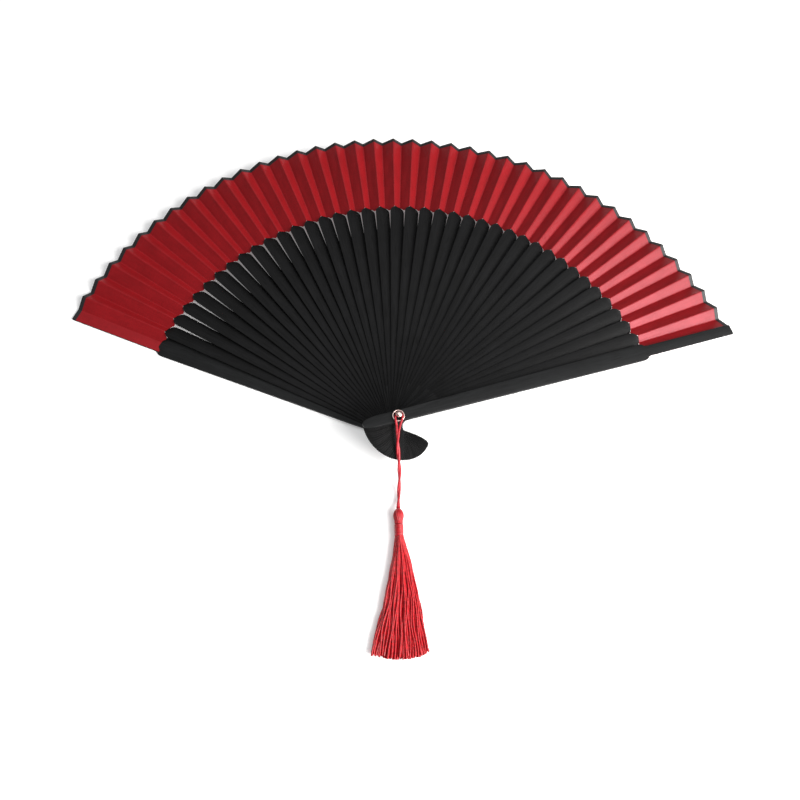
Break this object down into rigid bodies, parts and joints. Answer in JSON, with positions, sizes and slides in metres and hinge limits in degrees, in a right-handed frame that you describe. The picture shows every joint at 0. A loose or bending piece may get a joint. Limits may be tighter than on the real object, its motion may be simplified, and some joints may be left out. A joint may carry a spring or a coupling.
{
  "type": "folding fan",
  "caption": "Open folding hand fan: black wooden guards and ribs on one rivet, a pleated red silk leaf with a bound edge, and a corded tassel.",
  "frame": {"origin": "On the rivet's axis, in the plane of the back guard's flat outer face, which lies on the table.", "axes": "+Z points out of the fan's front, along the rivet; +Y points from the rivet to the middle of the open leaf; +X points to the front guard's side."},
  "size_m": [0.3996, 0.3343, 0.0335],
  "materials": {
    "rear_guard_wood": "black-dyed wood, satin",
    "rib_wood": "black-dyed wood, satin, fine lengthwise grain",
    "front_guard_wood": "black-dyed wood, satin",
    "leaf_silk": "red plain-weave silk with a soft sheen",
    "edge_tape": "black folded silk tape",
    "rivet_metal": "rose-gold plated, polished",
    "tassel_thread": "red rayon thread"
  },
  "bodies": {
    "rear_guard": {"rear_guard": "rear_guard_wood", "rivet": "rivet_metal", "rivet_cap": "rivet_metal", "leaf": "leaf_silk", "leaf_edge_binding": "edge_tape"},
    "rib_01": {"rib_01": "rib_wood"},
    "rib_02": {"rib_02": "rib_wood"},
    "rib_03": {"rib_03": "rib_wood"},
    "rib_04": {"rib_04": "rib_wood"},
    "rib_05": {"rib_05": "rib_wood"},
    "rib_06": {"rib_06": "rib_wood"},
    "rib_07": {"rib_07": "rib_wood"},
    "rib_08": {"rib_08": "rib_wood"},
    "rib_09": {"rib_09": "rib_wood"},
    "rib_10": {"rib_10": "rib_wood"},
    "rib_11": {"rib_11": "rib_wood"},
    "rib_12": {"rib_12": "rib_wood"},
    "rib_13": {"rib_13": "rib_wood"},
    "rib_14": {"rib_14": "rib_wood"},
    "rib_15": {"rib_15": "rib_wood"},
    "rib_16": {"rib_16": "rib_wood"},
    "rib_17": {"rib_17": "rib_wood"},
    "rib_18": {"rib_18": "rib_wood"},
    "rib_19": {"rib_19": "rib_wood"},
    "rib_20": {"rib_20": "rib_wood"},
    "rib_21": {"rib_21": "rib_wood"},
    "rib_22": {"rib_22": "rib_wood"},
    "rib_23": {"rib_23": "rib_wood"},
    "rib_24": {"rib_24": "rib_wood"},
    "rib_25": {"rib_25": "rib_wood"},
    "rib_26": {"rib_26": "rib_wood"},
    "rib_27": {"rib_27": "rib_wood"},
    "rib_28": {"rib_28": "rib_wood"},
    "rib_29": {"rib_29": "rib_wood"},
    "rib_30": {"rib_30": "rib_wood"},
    "rib_31": {"rib_31": "rib_wood"},
    "rib_32": {"rib_32": "rib_wood"},
    "rib_33": {"rib_33": "rib_wood"},
    "rib_34": {"rib_34": "rib_wood"},
    "rib_35": {"rib_35": "rib_wood"},
    "rib_36": {"rib_36": "rib_wood"},
    "rib_37": {"rib_37": "rib_wood"},
    "rib_38": {"rib_38": "rib_wood"},
    "front_guard": {"front_guard": "front_guard_wood"},
    "tassel": {"ring": "rivet_metal", "cord_loop": "tassel_thread", "tassel_cord": "tassel_thread", "tassel_head": "tassel_thread", "tassel_neck_binding": "tassel_thread", "tassel_skirt": "tassel_thread"}
  },
  "joints": [
    {"name": "fold_01", "type": "hinge", "parent": "rear_guard", "child": "rib_01", "pos_m": [0, 0, 0.015], "axis": [0, 0, 1], "range_deg": [0, 3.66], "deforming": ["leaf", "leaf_edge_binding", "cord_loop", "tassel_cord"]},
    {"name": "fold_02", "type": "hinge", "parent": "rib_01", "child": "rib_02", "pos_m": [0, 0, 0.015], "axis": [0, 0, 1], "range_deg": [0, 3.66]},
    {"name": "fold_03", "type": "hinge", "parent": "rib_02", "child": "rib_03", "pos_m": [0, 0, 0.015], "axis": [0, 0, 1], "range_deg": [0, 3.66]},
    {"name": "fold_04", "type": "hinge", "parent": "rib_03", "child": "rib_04", "pos_m": [0, 0, 0.015], "axis": [0, 0, 1], "range_deg": [0, 3.66]},
    {"name": "fold_05", "type": "hinge", "parent": "rib_04", "child": "rib_05", "pos_m": [0, 0, 0.015], "axis": [0, 0, 1], "range_deg": [0, 3.66]},
    {"name": "fold_06", "type": "hinge", "parent": "rib_05", "child": "rib_06", "pos_m": [0, 0, 0.015], "axis": [0, 0, 1], "range_deg": [0, 3.66]},
    {"name": "fold_07", "type": "hinge", "parent": "rib_06", "child": "rib_07", "pos_m": [0, 0, 0.015], "axis": [0, 0, 1], "range_deg": [0, 3.66]},
    {"name": "fold_08", "type": "hinge", "parent": "rib_07", "child": "rib_08", "pos_m": [0, 0, 0.015], "axis": [0, 0, 1], "range_deg": [0, 3.66]},
    {"name": "fold_09", "type": "hinge", "parent": "rib_08", "child": "rib_09", "pos_m": [0, 0, 0.015], "axis": [0, 0, 1], "range_deg": [0, 3.66]},
    {"name": "fold_10", "type": "hinge", "parent": "rib_09", "child": "rib_10", "pos_m": [0, 0, 0.015], "axis": [0, 0, 1], "range_deg": [0, 3.66]},
    {"name": "fold_11", "type": "hinge", "parent": "rib_10", "child": "rib_11", "pos_m": [0, 0, 0.015], "axis": [0, 0, 1], "range_deg": [0, 3.66]},
    {"name": "fold_12", "type": "hinge", "parent": "rib_11", "child": "rib_12", "pos_m": [0, 0, 0.015], "axis": [0, 0, 1], "range_deg": [0, 3.66]},
    {"name": "fold_13", "type": "hinge", "parent": "rib_12", "child": "rib_13", "pos_m": [0, 0, 0.015], "axis": [0, 0, 1], "range_deg": [0, 3.66]},
    {"name": "fold_14", "type": "hinge", "parent": "rib_13", "child": "rib_14", "pos_m": [0, 0, 0.015], "axis": [0, 0, 1], "range_deg": [0, 3.66]},
    {"name": "fold_15", "type": "hinge", "parent": "rib_14", "child": "rib_15", "pos_m": [0, 0, 0.015], "axis": [0, 0, 1], "range_deg": [0, 3.66]},
    {"name": "fold_16", "type": "hinge", "parent": "rib_15", "child": "rib_16", "pos_m": [0, 0, 0.015], "axis": [0, 0, 1], "range_deg": [0, 3.66]},
    {"name": "fold_17", "type": "hinge", "parent": "rib_16", "child": "rib_17", "pos_m": [0, 0, 0.015], "axis": [0, 0, 1], "range_deg": [0, 3.66]},
    {"name": "fold_18", "type": "hinge", "parent": "rib_17", "child": "rib_18", "pos_m": [0, 0, 0.015], "axis": [0, 0, 1], "range_deg": [0, 3.66]},
    {"name": "fold_19", "type": "hinge", "parent": "rib_18", "child": "rib_19", "pos_m": [0, 0, 0.015], "axis": [0, 0, 1], "range_deg": [0, 3.66]},
    {"name": "fold_20", "type": "hinge", "parent": "rib_19", "child": "rib_20", "pos_m": [0, 0, 0.015], "axis": [0, 0, 1], "range_deg": [0, 3.66]},
    {"name": "fold_21", "type": "hinge", "parent": "rib_20", "child": "rib_21", "pos_m": [0, 0, 0.015], "axis": [0, 0, 1], "range_deg": [0, 3.66]},
    {"name": "fold_22", "type": "hinge", "parent": "rib_21", "child": "rib_22", "pos_m": [0, 0, 0.015], "axis": [0, 0, 1], "range_deg": [0, 3.66]},
    {"name": "fold_23", "type": "hinge", "parent": "rib_22", "child": "rib_23", "pos_m": [0, 0, 0.015], "axis": [0, 0, 1], "range_deg": [0, 3.66]},
    {"name": "fold_24", "type": "hinge", "parent": "rib_23", "child": "rib_24", "pos_m": [0, 0, 0.015], "axis": [0, 0, 1], "range_deg": [0, 3.66]},
    {"name": "fold_25", "type": "hinge", "parent": "rib_24", "child": "rib_25", "pos_m": [0, 0, 0.015], "axis": [0, 0, 1], "range_deg": [0, 3.66]},
    {"name": "fold_26", "type": "hinge", "parent": "rib_25", "child": "rib_26", "pos_m": [0, 0, 0.015], "axis": [0, 0, 1], "range_deg": [0, 3.66]},
    {"name": "fold_27", "type": "hinge", "parent": "rib_26", "child": "rib_27", "pos_m": [0, 0, 0.015], "axis": [0, 0, 1], "range_deg": [0, 3.66]},
    {"name": "fold_28", "type": "hinge", "parent": "rib_27", "child": "rib_28", "pos_m": [0, 0, 0.015], "axis": [0, 0, 1], "range_deg": [0, 3.66]},
    {"name": "fold_29", "type": "hinge", "parent": "rib_28", "child": "rib_29", "pos_m": [0, 0, 0.015], "axis": [0, 0, 1], "range_deg": [0, 3.66]},
    {"name": "fold_30", "type": "hinge", "parent": "rib_29", "child": "rib_30", "pos_m": [0, 0, 0.015], "axis": [0, 0, 1], "range_deg": [0, 3.66]},
    {"name": "fold_31", "type": "hinge", "parent": "rib_30", "child": "rib_31", "pos_m": [0, 0, 0.015], "axis": [0, 0, 1], "range_deg": [0, 3.66]},
    {"name": "fold_32", "type": "hinge", "parent": "rib_31", "child": "rib_32", "pos_m": [0, 0, 0.015], "axis": [0, 0, 1], "range_deg": [0, 3.66]},
    {"name": "fold_33", "type": "hinge", "parent": "rib_32", "child": "rib_33", "pos_m": [0, 0, 0.015], "axis": [0, 0, 1], "range_deg": [0, 3.66]},
    {"name": "fold_34", "type": "hinge", "parent": "rib_33", "child": "rib_34", "pos_m": [0, 0, 0.015], "axis": [0, 0, 1], "range_deg": [0, 3.66]},
    {"name": "fold_35", "type": "hinge", "parent": "rib_34", "child": "rib_35", "pos_m": [0, 0, 0.015], "axis": [0, 0, 1], "range_deg": [0, 3.66]},
    {"name": "fold_36", "type": "hinge", "parent": "rib_35", "child": "rib_36", "pos_m": [0, 0, 0.015], "axis": [0, 0, 1], "range_deg": [0, 3.66]},
    {"name": "fold_37", "type": "hinge", "parent": "rib_36", "child": "rib_37", "pos_m": [0, 0, 0.015], "axis": [0, 0, 1], "range_deg": [0, 3.66]},
    {"name": "fold_38", "type": "hinge", "parent": "rib_37", "child": "rib_38", "pos_m": [0, 0, 0.015], "axis": [0, 0, 1], "range_deg": [0, 3.66]},
    {"name": "fold_39", "type": "hinge", "parent": "rib_38", "child": "front_guard", "pos_m": [0, 0, 0.015], "axis": [0, 0, 1], "range_deg": [0, 3.66]},
    {"name": "tassel_swing", "type": "hinge", "parent": "rear_guard", "child": "tassel", "pos_m": [0, 0, 0.029], "axis": [0, 0, 1], "range_deg": [0, 20]}
  ],
  "couplings": [
    {"joint": "fold_02", "follows": "fold_01", "ratio": 1},
    {"joint": "fold_03", "follows": "fold_01", "ratio": 1},
    {"joint": "fold_04", "follows": "fold_01", "ratio": 1},
    {"joint": "fold_05", "follows": "fold_01", "ratio": 1},
    {"joint": "fold_06", "follows": "fold_01", "ratio": 1},
    {"joint": "fold_07", "follows": "fold_01", "ratio": 1},
    {"joint": "fold_08", "follows": "fold_01", "ratio": 1},
    {"joint": "fold_09", "follows": "fold_01", "ratio": 1},
    {"joint": "fold_10", "follows": "fold_01", "ratio": 1},
    {"joint": "fold_11", "follows": "fold_01", "ratio": 1},
    {"joint": "fold_12", "follows": "fold_01", "ratio": 1},
    {"joint": "fold_13", "follows": "fold_01", "ratio": 1},
    {"joint": "fold_14", "follows": "fold_01", "ratio": 1},
    {"joint": "fold_15", "follows": "fold_01", "ratio": 1},
    {"joint": "fold_16", "follows": "fold_01", "ratio": 1},
    {"joint": "fold_17", "follows": "fold_01", "ratio": 1},
    {"joint": "fold_18", "follows": "fold_01", "ratio": 1},
    {"joint": "fold_19", "follows": "fold_01", "ratio": 1},
    {"joint": "fold_20", "follows": "fold_01", "ratio": 1},
    {"joint": "fold_21", "follows": "fold_01", "ratio": 1},
    {"joint": "fold_22", "follows": "fold_01", "ratio": 1},
    {"joint": "fold_23", "follows": "fold_01", "ratio": 1},
    {"joint": "fold_24", "follows": "fold_01", "ratio": 1},
    {"joint": "fold_25", "follows": "fold_01", "ratio": 1},
    {"joint": "fold_26", "follows": "fold_01", "ratio": 1},
    {"joint": "fold_27", "follows": "fold_01", "ratio": 1},
    {"joint": "fold_28", "follows": "fold_01", "ratio": 1},
    {"joint": "fold_29", "follows": "fold_01", "ratio": 1},
    {"joint": "fold_30", "follows": "fold_01", "ratio": 1},
    {"joint": "fold_31", "follows": "fold_01", "ratio": 1},
    {"joint": "fold_32", "follows": "fold_01", "ratio": 1},
    {"joint": "fold_33", "follows": "fold_01", "ratio": 1},
    {"joint": "fold_34", "follows": "fold_01", "ratio": 1},
    {"joint": "fold_35", "follows": "fold_01", "ratio": 1},
    {"joint": "fold_36", "follows": "fold_01", "ratio": 1},
    {"joint": "fold_37", "follows": "fold_01", "ratio": 1},
    {"joint": "fold_38", "follows": "fold_01", "ratio": 1},
    {"joint": "fold_39", "follows": "fold_01", "ratio": 1}
  ]
}
